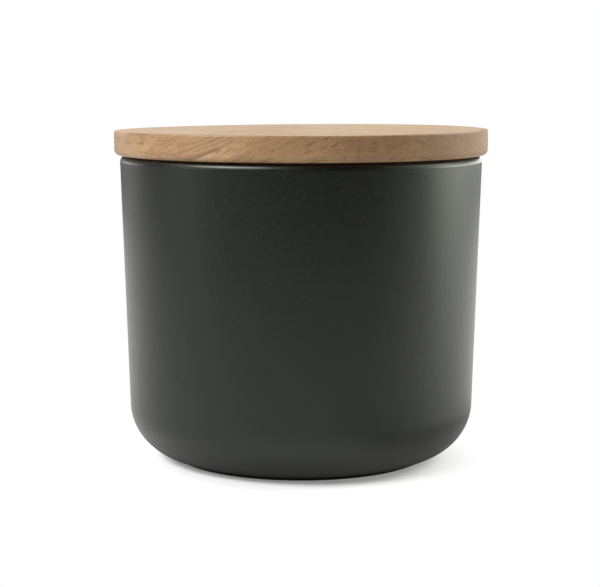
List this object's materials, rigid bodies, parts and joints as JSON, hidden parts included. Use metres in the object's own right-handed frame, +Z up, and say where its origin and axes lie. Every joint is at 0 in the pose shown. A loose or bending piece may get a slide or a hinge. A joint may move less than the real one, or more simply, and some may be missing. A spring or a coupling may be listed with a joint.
{
  "type": "sugar bowl",
  "caption": "Round straight-sided stoneware sugar bowl with a softly curved base and a flat overhanging wooden lid that plugs into the mouth on a silicone seal and lifts off.",
  "frame": {"origin": "centre of the foot, on the plane the bowl stands on", "axes": "+Z up along the turned axis, out through the lid; the grain of the lid's board lies 30 degrees from +X towards -Y, and the plug's grain crosses it"},
  "size_m": [0.1, 0.1, 0.0883],
  "materials": {
    "glazed_stoneware": "satin matt dark green-grey glaze",
    "lid_wood": "oiled hardwood",
    "plug_wood": "oiled hardwood",
    "seal_silicone": "milky satin silicone"
  },
  "bodies": {
    "bowl": {"bowl": "glazed_stoneware"},
    "seal": {"seal_ring": "seal_silicone"},
    "lid": {"lid_board": "lid_wood", "lid_plug": "plug_wood"}
  },
  "joints": [
    {"name": "lid_lift", "type": "slide", "parent": "bowl", "child": "seal", "axis": [0, 0, 1], "range_m": [0, 0.06]},
    {"name": "lid_turn", "type": "hinge", "parent": "seal", "child": "lid", "pos_m": [0, 0, 0.0785], "axis": [0, 0, 1], "continuous": true}
  ]
}
